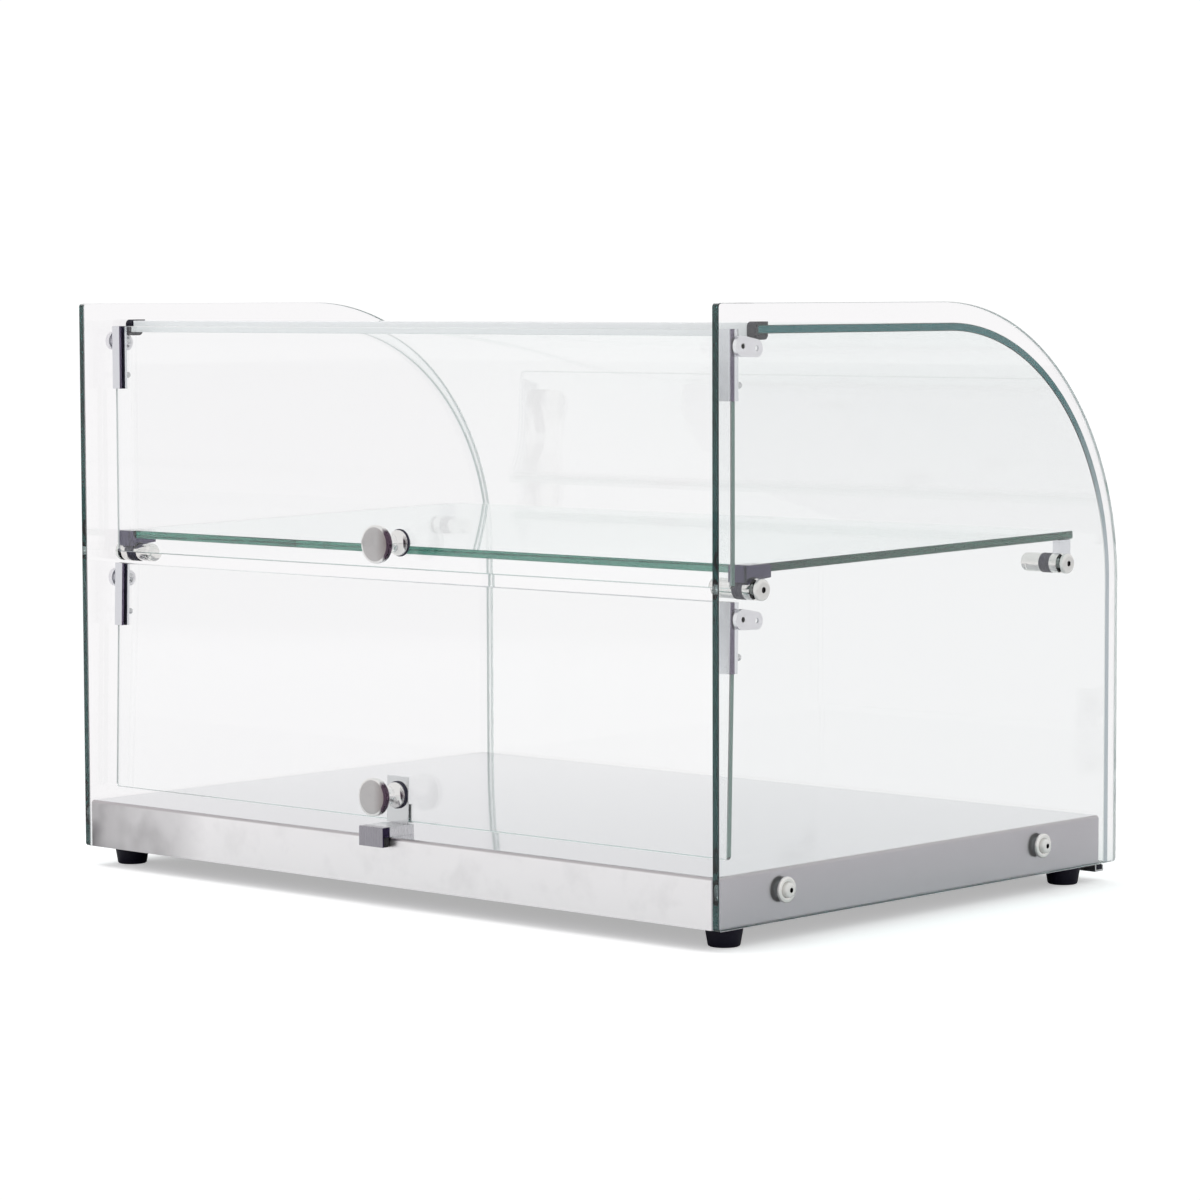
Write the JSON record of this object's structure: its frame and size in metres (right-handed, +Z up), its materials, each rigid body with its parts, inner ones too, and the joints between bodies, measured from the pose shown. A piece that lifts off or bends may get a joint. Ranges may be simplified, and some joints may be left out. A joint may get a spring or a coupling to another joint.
{
  "type": "countertop display case",
  "caption": "Countertop glass display case with a steel base pan, a pane bent from roof to front, a glass shelf, and top-hung glass doors with knobs and a magnetic catch.",
  "frame": {"origin": "middle of the bounding box's footprint, on the surface that the feet stand on", "axes": "+X to the right for a person at the service doors, +Y from the doors to the bent front glass, +Z up"},
  "size_m": [0.5692, 0.3986, 0.3742],
  "materials": {
    "glass": "clear float glass with green edges",
    "brushed_steel": "fine horizontal brushing, mirror-like deck",
    "polished_steel": "polished",
    "chrome": "bright turned",
    "plain_steel": "zinc plated",
    "rubber": "matt black",
    "dark_plastic": "dark grey moulded",
    "clear_plastic": "clear extruded",
    "magnet": "black magnet housing"
  },
  "bodies": {
    "root": {"side_glass_right": "glass", "side_glass_left": "glass", "bent_front_glass": "glass", "shelf_glass": "glass", "base_pan": "brushed_steel", "front_gutter": "brushed_steel", "hinge_plates": "polished_steel", "catch_keeper": "polished_steel", "shelf_corner_rests": "polished_steel", "shelf_front_pads": "polished_steel", "base_screws": "chrome", "base_cup_washers": "chrome", "shelf_pegs": "chrome", "peg_flanges": "chrome", "peg_caps": "chrome", "gutter_rivets": "plain_steel", "foot_washers": "plain_steel", "foot_screws": "plain_steel", "foot_nuts": "plain_steel", "base_nuts": "plain_steel", "hinge_pins": "plain_steel", "feet": "rubber", "roof_corner_cushions": "rubber", "gutter_cord": "rubber", "peg_gaskets": "rubber", "peg_collars": "dark_plastic", "base_bushes": "dark_plastic", "roof_edge_trim": "clear_plastic", "catch_magnet": "magnet"},
    "upper_door": {"upper_door_glass": "glass", "upper_door_clamps": "polished_steel", "upper_knob": "chrome", "upper_clamp_screws": "plain_steel", "upper_knob_screw": "plain_steel", "upper_clamp_liners": "dark_plastic", "upper_knob_washers": "dark_plastic"},
    "lower_door": {"lower_door_glass": "glass", "lower_door_clamps": "polished_steel", "lower_knob": "chrome", "lower_clamp_screws": "plain_steel", "lower_knob_screw": "plain_steel", "lower_clamp_liners": "dark_plastic", "lower_knob_washers": "dark_plastic", "strike_clip": "polished_steel"}
  },
  "joints": [
    {"name": "upper_door_hinge", "type": "hinge", "parent": "root", "child": "upper_door", "pos_m": [0, -0.1683, 0.3493], "axis": [-1, 0, 0], "range_deg": [-1, 202]},
    {"name": "lower_door_hinge", "type": "hinge", "parent": "root", "child": "lower_door", "pos_m": [0, -0.1683, 0.1917], "axis": [-1, 0, 0], "range_deg": [0, 120]}
  ]
}
